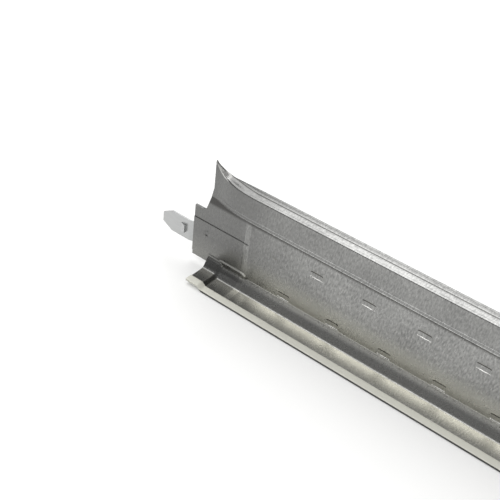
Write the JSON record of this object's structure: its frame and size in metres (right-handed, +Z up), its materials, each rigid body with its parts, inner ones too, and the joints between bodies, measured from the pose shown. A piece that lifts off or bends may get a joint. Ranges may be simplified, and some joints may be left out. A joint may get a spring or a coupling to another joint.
{
  "type": "ceiling grid cross tee",
  "caption": "Galvanised steel cross tee for a suspended ceiling grid, with a stitched double web, a painted capping strip and a steel clip in each end.",
  "frame": {"origin": "mid-length, on the underside of the painted face, below the web", "axes": "+X along the tee, +Y across it, +Z up from the painted face to the bulb"},
  "size_m": [0.626, 0.024, 0.0426],
  "materials": {
    "galvanised_strip": "bright zinc coating, rolled",
    "painted_face": "satin white coil paint",
    "clip_steel": "zinc-plated spring steel"
  },
  "bodies": {
    "root": {"tee_body": "galvanised_strip", "flange_cap": "painted_face", "end_clip_left": "clip_steel", "end_clip_right": "clip_steel"}
  },
  "joints": []
}
